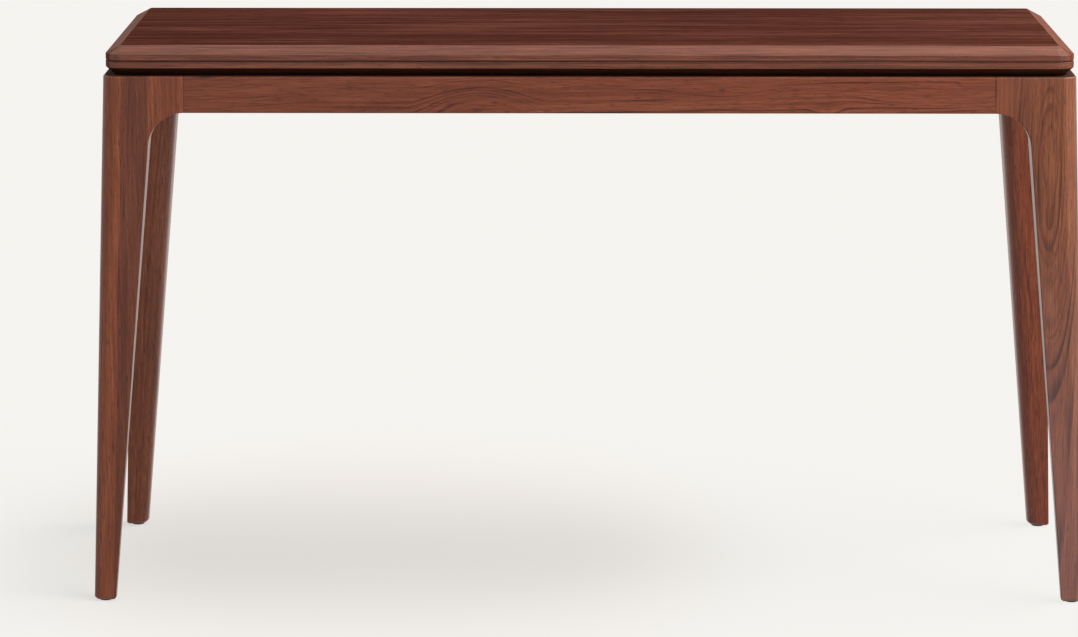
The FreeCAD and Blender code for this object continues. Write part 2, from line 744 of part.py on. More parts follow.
def build_frame():
    """Legs, aprons, blocks, rails, slides and their fasteners."""
    for name, flips in CORNERS.items():
        save("leg_" + name, placed(leg(), *flips))
        save("foot_glide_" + name, placed(foot_glide(), *flips))
        save("corner_block_" + name, placed(corner_block(), *flips))
    save("apron_front", front_apron())
    save("apron_rear", front_apron().mirror(ORIGIN, AXIS_Y))
    save("apron_left", left_apron())
    save("apron_right", left_apron().mirror(ORIGIN, AXIS_X))
    for name, station in STATIONS.items():
        save("cross_rail_" + name, cross_rail(station * slide_offset))
    for name, side in SIDES.items():
        save("slide_rail_" + name, slide_rail(side * slide_offset))
    save("slide_pad_front", slide_pad())
    save("slide_pad_rear", slide_pad().mirror(ORIGIN, AXIS_Y))
    buffers = [rail_buffer(side * slide_offset, end) for side in SIDES.values() for end in ENDS.values()]
    save_group("rail_buffers", buffers)
    dowels = [rod(start, way, dowel_radius, dowel_length) for start, way in leg_dowels(dowel_length)]
    save_group("apron_dowels", both_ways(dowels, True, True))
    short_starts = cross_rail_dowels(rail_dowel_length)
    short_dowels = [rod(start, AXIS_Y, dowel_radius, rail_dowel_length) for start in short_starts]
    save_group("cross_rail_dowels", both_ways(short_dowels, False, True))
    block_fixings = [screw(seat, way, block_screw) for seat, way in block_screws()]
    save_group("corner_block_screws", both_ways(block_fixings, True, True))
    save_group("hanger_bolts", both_ways([hanger_bolt()], True, True))
    save_group("hanger_washers", both_ways([hanger_washer()], True, True))
    save_group("hanger_nuts", both_ways([hanger_nut()], True, True))
    rail_seats = [seat for side in SIDES.values() for seat in rail_screw_places(side * slide_offset)]
    save_group("slide_rail_screws", [screw(seat, -AXIS_Z, rail_screw) for seat in rail_seats])


def build_leaves():
    """Both leaves, their hinges, and the runners of the lower leaf."""
    for name, lipping in lippings(leaf_bevel_width).items():
        save("upper_leaf_lipping_" + name, lipping)
    for name, lipping in lippings(leaf_under_bevel_width).items():
        save("lower_leaf_lipping_" + name, below_seam(lipping))
    panel = leaf_panel()
    save("upper_leaf_panel", panel)
    runner_seats = [seat for side in SIDES.values() for seat in runner_screw_places(side * slide_offset)]
    runner_holes = [screw_hole(seat, AXIS_Z, runner_screw, overrun) for seat in runner_seats]
    save("lower_leaf_panel", below_seam(panel).cut(runner_holes))
    for name, side in SIDES.items():
        save("slide_runner_" + name, slide_runner(side * slide_offset))
    save_group("runner_screws", [screw(seat, AXIS_Z, runner_screw) for seat in runner_seats])
    hinge_fixings = []
    for name, station in STATIONS.items():
        x = station * hinge_offset
        save("hinge_upper_" + name, hinge_plate(x, own=(1,), other=(0, 2)))
        save("hinge_lower_" + name, below_seam(hinge_plate(x, own=(0, 2), other=(1,))))
        save("hinge_pin_" + name, hinge_pin(x))
        hinge_fixings += [screw(seat, -AXIS_Y, hinge_screw) for seat in hinge_screw_places(x)]
    save_group("hinge_upper_screws", hinge_fixings)
    save_group("hinge_lower_screws", [below_seam(fixing) for fixing in hinge_fixings])


os.makedirs("parts", exist_ok=True)
build_frame()
build_leaves()
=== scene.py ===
"""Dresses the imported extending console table: walnut, metal, nylon and felt, a plain studio and the camera.

Every wooden piece is a board cut from a tree: the finish knows where the heart of the tree lay, and the
growth rings that the saw laid open are the figure on every face of the board.
"""

import logging
import math
from dataclasses import dataclass, replace
from enum import Enum
from typing import Any

import bpy
from mathutils import Euler, Matrix, Vector

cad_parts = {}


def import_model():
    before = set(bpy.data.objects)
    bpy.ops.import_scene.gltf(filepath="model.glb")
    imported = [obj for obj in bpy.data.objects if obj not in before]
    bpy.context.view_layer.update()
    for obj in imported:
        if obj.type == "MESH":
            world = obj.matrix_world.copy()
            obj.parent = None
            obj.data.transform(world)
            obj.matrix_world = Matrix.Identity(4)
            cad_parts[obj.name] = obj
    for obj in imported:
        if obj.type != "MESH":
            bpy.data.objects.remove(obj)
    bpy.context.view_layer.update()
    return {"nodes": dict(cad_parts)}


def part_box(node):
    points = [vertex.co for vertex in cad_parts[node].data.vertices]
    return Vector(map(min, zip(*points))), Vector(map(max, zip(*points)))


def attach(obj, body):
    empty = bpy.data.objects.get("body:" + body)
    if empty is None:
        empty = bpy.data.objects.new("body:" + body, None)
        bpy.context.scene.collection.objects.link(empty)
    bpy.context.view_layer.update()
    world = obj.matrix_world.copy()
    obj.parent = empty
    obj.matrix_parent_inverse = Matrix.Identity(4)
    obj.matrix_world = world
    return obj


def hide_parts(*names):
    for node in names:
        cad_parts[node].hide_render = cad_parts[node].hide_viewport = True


LOG = logging.getLogger("console_table")
MM_PER_METRE = 1000.0
BACKDROP_COLOUR = "#F5F4F0"
BLACK = "#000000"
WHITE = "#FFFFFF"
# The shade of a growth ring through its year: spring, summer, the late wood and the next spring.
SEASON_SHADES = {0.0: BLACK, 0.45: "#3A3A3A", 0.86: WHITE, 1.0: BLACK}
# The tones at which a timber's colours lie: pore, dark, middle and light.
TONE_PLACES = (0.05, 0.3, 0.58, 0.9)

Colour = tuple[float, float, float, float]
Pair = tuple[float, float]
Triple = tuple[float, float, float]
Tree = bpy.types.NodeTree
Socket = bpy.types.NodeSocket
Piece = bpy.types.Object
Material = bpy.types.Material


class Grain(Enum):
    """The way a board's grain runs, as the turn that lays it along the texture's first axis."""

    ALONG_X = (0.0, 0.0, 0.0)
    ALONG_Y = (0.0, 0.0, -math.pi / 2)
    ALONG_Z = (0.0, math.pi / 2, 0.0)


def linear(colour: str) -> Colour:
    """Turn an sRGB hex colour into linear light.

    Args:
        colour: The colour as "#RRGGBB".

    Returns:
        Red, green, blue and a full alpha.
    """
    shares = [int(colour[start : start + 2], 16) / 255 for start in (1, 3, 5)]
    light = [s / 12.92 if s <= 0.04045 else ((s + 0.055) / 1.055) ** 2.4 for s in shares]
    return (light[0], light[1], light[2], 1.0)


def add_node(
    tree: Tree,
    kind: str,
    inputs: dict[str | int, Any] | None = None,
    stops: dict[float, str] | None = None,
    out: str | int = 0,
    **settings: Any,
) -> Socket | None:
    """Add one node, set it up and link it.

    Args:
        tree: The node tree that takes the node.
        kind: The node's type, without the leading "ShaderNode".
        inputs: A value, a hex colour or an output socket for each input socket, by its name or number.
        stops: A hex colour for each place on a colour ramp.
        out: The output socket that is wanted, by its name or number.
        settings: The node's own settings.

    Returns:
        The output socket, or nothing for the node that ends a tree.
    """
    node = tree.nodes.new("ShaderNode" + kind)
    for name, value in settings.items():
        setattr(node, name, value)
    if stops:
        elements = node.color_ramp.elements
        while len(elements) < len(stops):
            elements.new(1.0)
        for element, (place, shade) in zip(elements, sorted(stops.items())):
            element.position = place
            element.color = linear(shade)
    for socket, value in (inputs or {}).items():
        if isinstance(value, Socket):
            tree.links.new(value, node.inputs[socket])
        else:
            node.inputs[socket].default_value = linear(value) if isinstance(value, str) else value
    return node.outputs[out] if node.outputs else None


def new_material(name: str) -> Material:
    """Make a material with an empty node tree.

    Args:
        name: The material's name.

    Returns:
        The new material.
    """
    material = bpy.data.materials.new(name)
    material.use_nodes = True
    material.node_tree.nodes.clear()
    return material


def place_in_mm(tree: Tree) -> Socket:
    """Add the place on a piece, in millimetres.

    Args:
        tree: The material's node tree.

    Returns:
        The place, in the frame that all pieces share.
    """
    place = add_node(tree, "TexCoord", out="Object")
    return add_node(tree, "Mapping", {"Vector": place, "Scale": (MM_PER_METRE,) * 3})


def mixed(tree: Tree, colour: Socket, other: str, mask: Socket, most: float = 1.0) -> Socket:
    """Add another colour where a mask asks for it.

    Args:
        tree: The material's node tree.
        colour: The colour so far.
        other: The hex colour to add.
        mask: Where it goes.
        most: The share of it where the mask is one.

    Returns:
        The mixed colour.
    """
    share = add_node(tree, "Math", {0: mask, 1: most}, operation="MULTIPLY")
    return add_node(tree, "Mix", {"Factor": share, 6: colour, 7: other}, out=2, data_type="RGBA")


def coat(piece: Piece, material: Material) -> None:
    """Give a piece one material all over.

    Args:
        piece: The piece to dress.
        material: The finish that it gets.
    """
    piece.data.materials.clear()
    piece.data.materials.append(material)
    LOG.info("%s is dressed in %s", piece.name, material.name)


@dataclass(frozen=True)
class EasedEdge:
    """An arris that was broken with abrasive paper: it catches light, and wear shows there first."""

    radius_mm: float = 1.0
    samples: int = 4
    # The cosines of the turn at which an edge begins, and from which on it is all edge.
    begins_cosine: float = 0.99
    full_cosine: float = 0.86

    def nodes(self, tree: Tree) -> tuple[Socket, Socket]:
        """Add the nodes that round the shading and find the edges.

        Args:
            tree: The material's node tree.

        Returns:
            The rounded normal, and a mask that is one on an edge.
        """
        radius = self.radius_mm / MM_PER_METRE
        rounded = add_node(tree, "Bevel", {"Radius": radius}, samples=self.samples)
        flat = add_node(tree, "NewGeometry", out="Normal")
        turned = add_node(tree, "VectorMath", {0: rounded, 1: flat}, out="Value", operation="DOT_PRODUCT")
        span = {"Value": turned, "From Min": self.begins_cosine, "From Max": self.full_cosine}
        return rounded, add_node(tree, "MapRange", span)


@dataclass(frozen=True)
class Relief:
    """The fine texture that a finger could feel on a finish."""

    strength: float
    depth_mm: float

    def end(self, tree: Tree, height: Socket, rounded: Socket | None, inputs: dict[str, Any]) -> None:
        """End a material with its surface.

        Args:
            tree: The material's node tree.
            height: The height of the texture.
            rounded: The normal with rounded edges, or nothing.
            inputs: What the surface is made of, by the shader's sockets.
        """
        raised = {"Strength": self.strength, "Distance": self.depth_mm / MM_PER_METRE, "Height": height}
        if rounded is not None:
            raised["Normal"] = rounded
        bump = add_node(tree, "Bump", raised)
        shader = add_node(tree, "BsdfPrincipled", {**inputs, "Normal": bump})
        add_node(tree, "OutputMaterial", {"Surface": shader})


@dataclass(frozen=True)
class Timber:
    """A kind of wood with its finish, as the eye sees it.

    The colours run from the late wood and the pores to the palest early wood. Specular is the strength of
    the lacquer's gloss, and the worn colour shows on the edges.
    """

    name: str
    pore: str
    dark: str
    middle: str
    light: str
    worn: str
    roughness: float
    specular: float


@dataclass(frozen=True)
class PaintedGapShade:
    """Painted shade: faces that look up (1) or down (-1) are darkened, so the gap between leaf and frame
    reads dark.
    """

    towards: float
    # The share of the wood's colour that the painted shade leaves.
    leaves_share: float = 0.20
    # A face gets the painted shade from this share of full upright on.
    starts_share: float = 0.50
    fades_share: float = 0.05
    # If matt, faces with the painted shade get the roughest finish, so no sheen lightens them.
    matt: bool = False


@dataclass(frozen=True)
class KnotOrPatch:
    """A place where the rings bend round a branch, or a patch of another colour: wood of another shade, or
    painted light or shade.

    Places and reaches are in millimetres from the board's middle. Rings is how many rings the knot adds, and
    darkness how much of the shade. The tables of knots keep to this order of values.
    """

    along: float
    across: float
    reach_along: float
    reach_across: float
    rings: float
    darkness: float = 0.0
    # The colour that the patch turns to here, or nothing for the dark of the pores.
    shade: str | None = None


@dataclass(frozen=True)
class Board:
    """A board as it was sawn: the finish of one wooden piece.

    The heart is where the tree's middle lay, in millimetres from the middle of the board, across the grain.
    The lean is how much the heart wanders off for each millimetre of length, which lays arches open on the
    face. Figure, streaks and mottle are the strengths of the rings, the fine streaks and the broad ones.
    Staves are strips of different shade, each with its share of the way across the board and its tint. The
    joint line is the width of the dark line where the board's ends meet their neighbours.
    """

    timber: Timber
    grain: Grain
    heart: Pair = (70.0, 20.0)
    lean: Pair = (0.0, 0.0)
    ring_width: float = 6.0
    waviness: float = 6.0
    figure: float = 0.40
    streaks: float = 1.0
    mottle: float = 0.45
    knots_and_patches: tuple[KnotOrPatch, ...] = ()
    staves: tuple[tuple[float, str], ...] = ()
    stave_lean: float = 0.0
    joint_line: float = 0.0
    # Painted shade for faces in the gap between leaf and frame, if the board has any.
    gap_shade: PaintedGapShade | None = None
    seed: float = 0.0
    # Fibres and pores are finer than the picture's points, so they are drawn a little coarser than they grow.
    fibre_width: float = 1.8
    fibre_length: float = 110.0
    pore_width: float = 1.3
    pore_length: float = 16.0
    mottle_width: float = 20.0
    mottle_length: float = 320.0
    # The waves of the grain, and the patches in which a ring's line fades.
    wave_width: float = 60.0
    wave_length: float = 380.0
    fading_width: float = 16.0
    fading_length: float = 170.0
    fading_range: Pair = (0.36, 0.62)
    # Good and bad summers: how fast they change from ring to ring, and how many rings they shift a line by.
    summer_rate: float = 0.4
    summer_shift: float = 2.4
    faintest_ring: float = 0.15
    patch_roughness: float = 0.6
    plain_tone: float = 0.62
    # Where in its patches a pore begins and is open, and how much pores and wear colour the wood.
    pore_range: Pair = (0.56, 0.72)
    pore_strength: float = 0.62
    wear: float = 0.45
    # The relief of fibres and pores under the lacquer, and how far its gloss varies with the fibres.
    relief: Relief = Relief(strength=0.25, depth_mm=0.15)
    gloss_spread: float = 0.08
    edge: EasedEdge = EasedEdge()

    def material(self, name: str, low: Vector, high: Vector) -> Material:
        """Make the board's material.

        Args:
            name: The name of the piece, which the material's name ends with.
            low: The lowest corner of the piece, in metres.
            high: The highest corner of the piece, in metres.

        Returns:
            The material, with its grain centred on the piece.
        """
        material = new_material(f"{self.timber.name}_{name}")
        tree = material.node_tree
        size = Vector(high) - Vector(low)
        turn = Euler(self.grain.value).to_matrix()
        middle = turn @ ((Vector(low) + Vector(high)) / 2)
        length, _, across = (abs(extent) * MM_PER_METRE for extent in turn @ size)
        place = add_node(
            tree,
            "Mapping",
            {
                "Vector": add_node(tree, "TexCoord", out="Object"),
                "Location": -middle * MM_PER_METRE,
                "Rotation": self.grain.value,
                "Scale": (MM_PER_METRE,) * 3,
            },
        )
        along = add_node(tree, "SeparateXYZ", {0: place}, out="X")
        wander = self.noise(tree, place, self.wave_length, self.wave_width, detail=2.0, out="Color")
        swing = Vector((0.0, self.waviness, self.waviness))
        waves = add_node(tree, "VectorMath", {0: wander, 1: 2 * swing, 2: -swing}, operation="MULTIPLY_ADD")
        bent = add_node(tree, "VectorMath", {0: place, 1: waves}, operation="ADD")
        masks = [self.knot_mask(tree, place, knot) for knot in self.knots_and_patches]
        late = self.late_wood(tree, bent, along, masks)
        fibre = self.noise(tree, bent, self.fibre_length, self.fibre_width, detail=3.0)
        mottle = self.noise(tree, bent, self.mottle_length, self.mottle_width, detail=2.0)
        pores = self.noise(tree, place, self.pore_length, self.pore_width, detail=1.0)
        low_pore, high_pore = self.pore_range
        pores = add_node(tree, "MapRange", {"Value": pores, "From Min": low_pore, "From Max": high_pore})
        colour = self.colour(tree, late, fibre, mottle)
        colour = mixed(tree, colour, self.timber.pore, pores, self.pore_strength)
        if self.staves:
            colour = self.glued_up(tree, colour, bent, along, across)
        rounded, worn = self.edge.nodes(tree)
        colour = mixed(tree, colour, self.timber.worn, worn, self.wear)
        for knot, mask in zip(self.knots_and_patches, masks):
            if knot.darkness:
                colour = mixed(tree, colour, knot.shade or self.timber.pore, mask, knot.darkness)
        if self.joint_line:
            from_middle = add_node(tree, "Math", {0: along}, operation="ABSOLUTE")
            span = {"Value": from_middle, "From Min": length / 2 - self.joint_line, "From Max": length / 2}
            colour = mixed(tree, colour, self.timber.pore, add_node(tree, "MapRange", span))
        # Painted shade: faces in the gap between leaf and frame are darkened towards black and may be made
        # matt.
        matt_painted_shade = None
        if self.gap_shade:
            mask = self.gap_shade_mask(tree, self.gap_shade)
            colour = mixed(tree, colour, BLACK, mask, 1.0 - self.gap_shade.leaves_share)
            matt_painted_shade = mask if self.gap_shade.matt else None
        self.lacquer(tree, colour, fibre, pores, rounded, matt_painted_shade)
        return material

    def noise(
        self, tree: Tree, place: Socket, length: float, width: float, detail: float, out: str | int = 0
    ) -> Socket:
        """Add a noise that is drawn out along the grain.

        Args:
            tree: The material's node tree.
            place: The place on the board, in millimetres.
            length: The length of its patches along the grain, in millimetres.
            width: The width of its patches, in millimetres.
            detail: How many finer layers it has.
            out: The output socket that is wanted, by its name or number.

        Returns:
            The noise.
        """
        shrink, shift = (1 / length, 1 / width, 1 / width), (self.seed + width, self.seed, length)
        drawn_out = add_node(tree, "VectorMath", {0: place, 1: shrink, 2: shift}, operation="MULTIPLY_ADD")
        layers = {"Vector": drawn_out, "Scale": 1.0, "Detail": detail, "Roughness": self.patch_roughness}
        return add_node(tree, "TexNoise", layers, out=out)

    def knot_mask(self, tree: Tree, place: Socket, knot: KnotOrPatch) -> Socket:
        """Add a soft oval round a knot.

        Args:
            tree: The material's node tree.
            place: The place on the board, in millimetres.
            knot: The knot.

        Returns:
            A mask that is one at the knot's middle and nothing past its reach.
        """
        reach = (1 / knot.reach_along, 0.0, 1 / knot.reach_across)
        shift = (-knot.along / knot.reach_along, 0.0, -knot.across / knot.reach_across)
        oval = add_node(tree, "VectorMath", {0: place, 1: reach, 2: shift}, operation="MULTIPLY_ADD")
        away = add_node(tree, "VectorMath", {0: oval}, out="Value", operation="LENGTH")
        span = {"Value": away, "From Min": 1.0, "From Max": 0.0}
        return add_node(tree, "MapRange", span, interpolation_type="SMOOTHSTEP")

    def late_wood(self, tree: Tree, bent: Socket, along: Socket, masks: list[Socket]) -> Socket:
        """Add the growth rings, each with its dark late wood.

        Args:
            tree: The material's node tree.
            bent: The place on the board after the grain's own waves, in millimetres.
            along: The distance along the grain, in millimetres.
            masks: The soft ovals of the board's knots.

        Returns:
            A value that is one in the darkest late wood.
        """
        lean, heart = (0.0, -self.lean[0], -self.lean[1]), (0.0, -self.heart[0], -self.heart[1])
        leaning = add_node(tree, "VectorMath", {0: lean, "Scale": along}, operation="SCALE")
        leaning = add_node(tree, "VectorMath", {0: bent, 1: leaning}, operation="ADD")
        flattened = {0: leaning, 1: (0.0, 1.0, 1.0), 2: heart}
        from_heart = add_node(tree, "VectorMath", flattened, operation="MULTIPLY_ADD")
        radius = add_node(tree, "VectorMath", {0: from_heart}, out="Value", operation="LENGTH")
        age = add_node(tree, "Math", {0: radius, 1: self.ring_width}, operation="DIVIDE")
        for knot, mask in zip(self.knots_and_patches, masks):
            age = add_node(tree, "Math", {0: mask, 1: knot.rings, 2: age}, operation="MULTIPLY_ADD")
        # Good and bad summers: some rings are wide and others narrow.
        turns = {"W": age, "Scale": self.summer_rate, "Detail": 1.0}
        summers = add_node(tree, "TexNoise", turns, noise_dimensions="1D")
        age = add_node(tree, "Math", {0: summers, 1: self.summer_shift, 2: age}, operation="MULTIPLY_ADD")
        year = add_node(tree, "Math", {0: age}, operation="FLOOR")
        season = add_node(tree, "Math", {0: age}, operation="FRACT")
        strength = add_node(tree, "TexWhiteNoise", {"W": year}, out="Value", noise_dimensions="1D")
        strength = add_node(tree, "MapRange", {"Value": strength, "To Min": self.faintest_ring})
        # A line of late wood comes and goes along the board.
        fading = self.noise(tree, bent, self.fading_length, self.fading_width, detail=2.0)
        low, high = self.fading_range
        fading = add_node(tree, "MapRange", {"Value": fading, "From Min": low, "From Max": high})
        strength = add_node(tree, "Math", {0: strength, 1: fading}, operation="MULTIPLY")
        line = add_node(tree, "ValToRGB", {0: season}, SEASON_SHADES)
        return add_node(tree, "Math", {0: line, 1: strength}, operation="MULTIPLY")

    def colour(self, tree: Tree, late: Socket, fibre: Socket, mottle: Socket) -> Socket:
        """Add the wood's colour from dark late wood to pale early wood.

        Args:
            tree: The material's node tree.
            late: One in the darkest late wood.
            fibre: The fine streaks.
            mottle: The broad streaks.

        Returns:
            The colour.
        """
        tone: float | Socket = self.plain_tone - (self.streaks + self.mottle) / 2
        for part, amount in ((late, -self.figure), (fibre, self.streaks), (mottle, self.mottle)):
            tone = add_node(tree, "Math", {0: part, 1: amount, 2: tone}, operation="MULTIPLY_ADD")
        shades = (self.timber.pore, self.timber.dark, self.timber.middle, self.timber.light)
        return add_node(tree, "ValToRGB", {0: tone}, dict(zip(TONE_PLACES, shades)))

    def glued_up(self, tree: Tree, colour: Socket, bent: Socket, along: Socket, across: float) -> Socket:
        """Add the staves that the board is glued up from, each with its own shade.

        Args:
            tree: The material's node tree.
            colour: The colour so far.
            bent: The place on the board after the grain's own waves, in millimetres.
            along: The distance along the grain, in millimetres.
            across: The board's size across the grain, in millimetres.

        Returns:
            The colour with each stave's shade.
        """
        side = add_node(tree, "SeparateXYZ", {0: bent}, out="Z")
        side = add_node(tree, "Math", {0: along, 1: self.stave_lean, 2: side}, operation="MULTIPLY_ADD")
        # The share of the way across is one half in the middle of the board.
        share = add_node(tree, "Math", {0: side, 1: 1 / across, 2: 0.5}, operation="MULTIPLY_ADD")
        tints = add_node(tree, "ValToRGB", {0: share}, dict(self.staves))
        mix = {"Factor": 1.0, 6: colour, 7: tints}
        return add_node(tree, "Mix", mix, out=2, data_type="RGBA", blend_type="MULTIPLY")

    def gap_shade_mask(self, tree: Tree, gap_shade: PaintedGapShade) -> Socket:
        """Add a mask for the faces that get the painted shade.

        Args:
            tree: The material's node tree.
            gap_shade: The painted shade.

        Returns:
            One on the stained faces.
        """
        normal = add_node(tree, "NewGeometry", out="Normal")
        turn = {"vector_type": "NORMAL", "convert_from": "WORLD", "convert_to": "OBJECT"}
        facing = add_node(tree, "VectorTransform", {0: normal}, **turn)
        upward = add_node(tree, "SeparateXYZ", {0: facing}, out="Z")
        turned = add_node(tree, "Math", {0: upward, 1: gap_shade.towards}, operation="MULTIPLY")
        low, high = gap_shade.starts_share, gap_shade.starts_share + gap_shade.fades_share
        return add_node(tree, "MapRange", {"Value": turned, "From Min": low, "From Max": high})

    def lacquer(
        self, tree: Tree, colour: Socket, fibre: Socket, pores: Socket, rounded: Socket, matt_painted_shade: Socket | None
    ) -> None:
        """Add the lacquered surface: open pores, a breath of grain and a satin gloss.

        Args:
            tree: The material's node tree.
            colour: The wood's colour.
            fibre: The fine streaks.
            pores: The pores.
            rounded: The normal with rounded edges.
            matt_painted_shade: One on the faces with the painted shade, which are made matt, or nothing.
        """
        height = add_node(tree, "Math", {0: pores, 1: -1.0, 2: fibre}, operation="MULTIPLY_ADD")
        low, high = self.timber.roughness - self.gloss_spread, self.timber.roughness + self.gloss_spread
        roughness = add_node(tree, "MapRange", {"Value": fibre, "To Min": low, "To Max": high})
        if matt_painted_shade is not None:
            roughness = add_node(tree, "Math", {0: roughness, 1: matt_painted_shade}, operation="MAXIMUM")
        surface = {"Base Color": colour, "Roughness": roughness, "Specular IOR Level": self.timber.specular}
        self.relief.end(tree, height, rounded, surface)


@dataclass(frozen=True)
class Metal:
    """A worked metal: fine lines along the way it was drawn or brushed, a bloom of age, bright edges."""

    name: str
    bright: str
    dull: str
    edge_colour: str
    roughness: float
    brushed: Triple
    bloom_mm: float = 6.0
    # Where in the bloom the metal is dull and where bright, and how far its gloss varies.
    bloom_range: Pair = (0.12, 0.34)
    gloss_spread: float = 0.1
    relief: Relief = Relief(strength=0.2, depth_mm=0.05)
    edge: EasedEdge = EasedEdge(radius_mm=0.3)

    def material(self) -> Material:
        """Make the metal's material.

        Returns:
            The material.
        """
        material = new_material(self.name)
        tree = material.node_tree
        place = place_in_mm(tree)
        fineness = tuple(1 / size for size in self.brushed)
        lines = add_node(tree, "VectorMath", {0: place, 1: fineness}, operation="MULTIPLY")
        lines = add_node(tree, "TexNoise", {"Vector": lines, "Scale": 1.0, "Detail": 2.0})
        bloom = add_node(tree, "TexNoise", {"Vector": place, "Scale": 1 / self.bloom_mm, "Detail": 4.0})
        age = add_node(tree, "Math", {0: lines, 1: bloom}, operation="MULTIPLY")
        colour = add_node(tree, "ValToRGB", {0: age}, dict(zip(self.bloom_range, (self.dull, self.bright))))
        rounded, worn = self.edge.nodes(tree)
        colour = mixed(tree, colour, self.edge_colour, worn)
        low, high = self.roughness - self.gloss_spread, self.roughness + self.gloss_spread
        roughness = add_node(tree, "MapRange", {"Value": bloom, "To Min": high, "To Max": low})
        surface = {"Base Color": colour, "Metallic": 1.0, "Roughness": roughness}
        self.relief.end(tree, lines, rounded, surface)
        return material


@dataclass(frozen=True)
class Moulding:
    """A moulded polymer: the fine grit of the mould, cloudy colour, and pale rubbed edges."""

    name: str
    body: str
    cloud: str
    rubbed: str
    roughness: float
    specular: float
    # The mould's grit is a few hundredths of a millimetre, and is drawn coarser to show.
    grit_mm: float = 0.6
    cloud_mm: float = 9.0
    # Where in the clouds the colour is the body's and where the cloud's, and how far the gloss varies.
    cloud_range: Pair = (0.35, 0.7)
    gloss_spread: float = 0.1
    relief: Relief = Relief(strength=0.3, depth_mm=0.06)
    edge: EasedEdge = EasedEdge(radius_mm=0.4)

    def material(self) -> Material:
        """Make the polymer's material.

        Returns:
            The material.
        """
        material = new_material(self.name)
        tree = material.node_tree
        place = place_in_mm(tree)
        grit = add_node(tree, "TexNoise", {"Vector": place, "Scale": 1 / self.grit_mm, "Detail": 2.0})
        cloud = add_node(tree, "TexNoise", {"Vector": place, "Scale": 1 / self.cloud_mm, "Detail": 3.0})
        colour = add_node(tree, "ValToRGB", {0: cloud}, dict(zip(self.cloud_range, (self.body, self.cloud))))
        rounded, worn = self.edge.nodes(tree)
        colour = mixed(tree, colour, self.rubbed, worn)
        low, high = self.roughness - self.gloss_spread, self.roughness + self.gloss_spread
        roughness = add_node(tree, "MapRange", {"Value": grit, "To Min": low, "To Max": high})
        surface = {"Base Color": colour, "Roughness": roughness, "Specular IOR Level": self.specular}
        self.relief.end(tree, grit, rounded, surface)
        return material


@dataclass(frozen=True)
class Felt:
    """Pressed wool felt: a soft, dull nap of short fibres that lie every way."""

    name: str
    wool: str
    fleck: str
    # Single wool fibres can't be seen, so the nap is drawn as small tufts.
    tuft_mm: float = 1.4
    tuft_roughness: float = 0.7
    tuft_twist: float = 1.5
    # Where in the nap the colour is the wool's and where the fleck's.
    fleck_range: Pair = (0.3, 0.75)
    roughness: Pair = (0.9, 1.0)
    specular: float = 0.1
    sheen: float = 0.35
    relief: Relief = Relief(strength=0.7, depth_mm=0.4)

    def material(self) -> Material:
        """Make the felt's material.

        Returns:
            The material.
        """
        material = new_material(self.name)
        tree = material.node_tree
        place = place_in_mm(tree)
        nap = add_node(
            tree,
            "TexNoise",
            {
                "Vector": place,
                "Scale": 1 / self.tuft_mm,
                "Detail": 4.0,
                "Roughness": self.tuft_roughness,
                "Distortion": self.tuft_twist,
            },
        )
        colour = add_node(tree, "ValToRGB", {0: nap}, dict(zip(self.fleck_range, (self.wool, self.fleck))))
        low, high = self.roughness
        surface = {
            "Base Color": colour,
            "Roughness": add_node(tree, "MapRange", {"Value": nap, "To Min": low, "To Max": high}),
            "Specular IOR Level": self.specular,
            "Sheen Weight": self.sheen,
        }
        self.relief.end(tree, nap, None, surface)
        return material


# Solid walnut under satin lacquer: reddish brown, with dark late wood and open pores.
FRAME_WALNUT = Timber(
    name="lacquered_walnut",
    pore="#34190F",
    dark="#552B1C",
    middle="#6E3924",
    light="#855035",
    worn="#986245",
    roughness=0.30,
    specular=0.30,
)
# The aprons are from a darker plank of the same walnut, under the same satin lacquer.
APRON_WALNUT = replace(
    FRAME_WALNUT,
    pore="#2E120A",
    dark="#4C2415",
    middle="#632E1C",
    light="#77422B",
    worn="#885137",
)
# The lippings are the same walnut, from darker boards with a duller lacquer.
LIPPING_WALNUT = replace(
    FRAME_WALNUT,
    pore="#2E120C",
    dark="#482316",
    middle="#5D2E1E",
    light="#72402E",
    worn="#83533F",
    roughness=0.42,
    specular=0.38,
)
# The end lippings are rubbed down more, and throw back less of the light.
END_LIPPING_WALNUT = replace(LIPPING_WALNUT, roughness=0.60, specular=0.06)
# Walnut veneer on the field: quarter cut, so its grain is straight and fine. It is the table's darkest wood,
# partly its own colour and partly painted shade, for a top that gets less light than the front.
VENEER_WALNUT_AND_PAINTED_SHADE = Timber(
    name="walnut_veneer",
    pore="#210F0B",
    dark="#351A14",
    middle="#45241C",
    light="#633B30",
    worn="#67463A",
    roughness=0.75,
    specular=0.0,
)
# Beech inside the frame, planed and left bare: pale, pinkish and close grained.
BARE_BEECH = Timber(
    name="bare_beech",
    pore="#8A5F43",
    dark="#A9805E",
    middle="#C29B77",
    light="#D3B08D",
    worn="#DCC0A2",
    roughness=0.65,
    specular=0.2,
)

